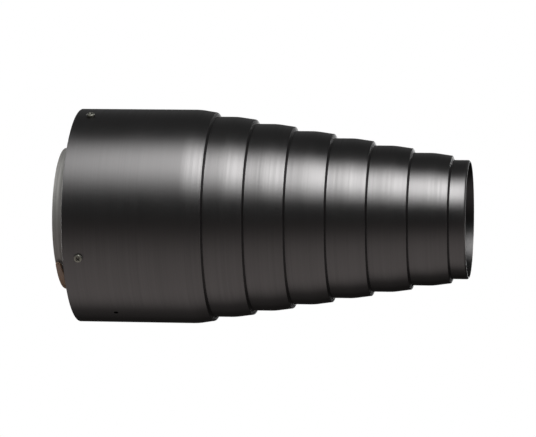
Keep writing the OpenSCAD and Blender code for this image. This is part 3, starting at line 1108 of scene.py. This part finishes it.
# Light that the floor throws, by its place along Y: (y in metres, strength)
FLOOR_GLOW = (
    (-1.8, 0.20), (-0.85, 0.42), (-0.52, 0.72), (-0.36, 0.98), (-0.20, 1.18),
    (-0.06, 1.27), (-0.01, 1.15), (0.04, 0.7), (0.10, 0.15), (0.30, 0.02),
)
FLOOR_TINT = (1.07, 0.98, 0.96, 1.0)
# Light from the walls and ceiling, by the angle up from the front and over the top, in degrees:
# (angle, strength)
WALL_GLOW = (
    (-180.0, 0.03), (0.0, 0.20), (20.0, 0.22), (60.0, 0.3),
    (100.0, 0.22), (130.0, 0.13), (160.0, 0.12), (180.0, 0.06),
)


def add_floor():
    """The floor: white to the eye, a graded glow to the snoot, and not there from below."""
    bpy.ops.mesh.primitive_plane_add(size=FLOOR_SIZE, location=(MIDDLE_X, 0.0, FLOOR_Z))
    floor = bpy.context.object
    floor.name = "floor"
    material = bpy.data.materials.new("floor")
    t = Tree(material)
    t.nodes.remove(t.nodes["Principled BSDF"])
    place = t.add("SeparateXYZ")
    t.feed(place.inputs[0], t.position())
    glow = t.emission(FLOOR_TINT, t.graded(place.outputs["Y"], FLOOR_GLOW))
    seen = t.either(t.is_camera_ray(), glow, t.emission(WHITE, 1.0))
    below = t.add("NewGeometry").outputs["Backfacing"]
    one_sided = t.either(below, seen, t.add("BsdfTransparent").outputs[0])
    t.feed(t.nodes["Material Output"].inputs["Surface"], one_sided)
    floor.data.materials.append(material)


def add_softbox(name, place, aim, width, height, radiance):
    """A softbox that the camera doesn't see. Its power follows from its size and its brightness."""
    data = bpy.data.lights.new(name, "AREA")
    data.shape = "RECTANGLE"
    data.size = width
    data.size_y = height
    data.energy = radiance * math.pi * width * height
    light = bpy.data.objects.new(name, data)
    light.location = place
    light.rotation_mode = "QUATERNION"
    light.rotation_quaternion = (Vector(place) - Vector(aim)).to_track_quat("Z", "Y")
    light.visible_camera = False
    bpy.context.scene.collection.objects.link(light)


def add_world():
    """The walls and the ceiling: white to the eye, and a graded glow to the snoot."""
    world = bpy.data.worlds.new("studio")
    t = Tree(world)
    way = t.add("SeparateXYZ")
    t.feed(way.inputs[0], t.add("TexCoord").outputs["Generated"])
    front = t.math("MULTIPLY", way.outputs["Y"], -1.0)
    degrees = t.math("DEGREES", t.math("ARCTAN2", way.outputs["Z"], front))
    seen = t.add("Mix")
    t.feed(seen.inputs[0], t.is_camera_ray())
    t.feed(seen.inputs[2], t.graded(degrees, WALL_GLOW))
    t.feed(seen.inputs[3], 1.0)
    background = t.nodes["Background"]
    t.feed(background.inputs["Strength"], seen.outputs[0])
    t.feed(background.inputs["Color"], WHITE)
    bpy.context.scene.world = world


# The key is a bank of softboxes up in front, brighter towards its middle and to the right. Each is
# (height in degrees, half its breadth in degrees, left edge, right edge, strength), and they stand
# one behind the other.
KEY_LAYERS = (
    (55.3, 10.0, 0.04, 0.80, 4.3),
    (55.3, 17.0, 0.02, 0.80, 6.3),
    (55.3, 25.0, 0.00, 0.82, 5.5),
    (55.3, 33.0, -0.02, 0.84, 2.8),
    (60.5, 9.0, -0.28, 0.03, 1.3),
    (60.5, 16.0, -0.28, 0.01, 2.0),
    (60.5, 24.0, -0.28, -0.01, 1.7),
)
KEY_DISTANCE = 1.0
KEY_SPACING = 0.02
# Weaker softboxes that shape the ends and the back: (place, width, height, strength)
FILLS = (
    ((-1.0, -0.8, 0.9), 0.5, 0.5, 3.0),
    ((1.25, -0.75, 0.9), 0.5, 0.5, 3.0),
    ((-1.2, 1.2, 0.1), 0.8, 0.7, 11.0),
    ((1.4, 1.2, 0.1), 0.8, 0.7, 11.0),
    ((-1.7, 0.1, 0.35), 0.8, 0.6, 2.2),
    ((0.4, 2.0, 0.05), 1.0, 0.45, 1.6),
)


def add_lights():
    for i, (height, half, left, right, radiance) in enumerate(KEY_LAYERS):
        angle = math.radians(height)
        distance = KEY_DISTANCE + KEY_SPACING * i
        centre = (left + right) / 2.0
        place = (centre, -distance * math.cos(angle), distance * math.sin(angle))
        breadth = 2.0 * distance * math.tan(math.radians(half))
        add_softbox("key_%d" % i, place, (centre, 0.0, 0.0), right - left, breadth, radiance)
    for i, (place, width, height, radiance) in enumerate(FILLS):
        add_softbox("fill_%d" % i, place, (MIDDLE_X, 0.0, 0.0), width, height, radiance)


add_shells()
add_plate()
add_socket()
add_screws()
add_latch()
add_camera()
add_floor()
add_world()
add_lights()

# White paper stays white and the black metal keeps its own tone
bpy.context.scene.view_settings.view_transform = "Standard"
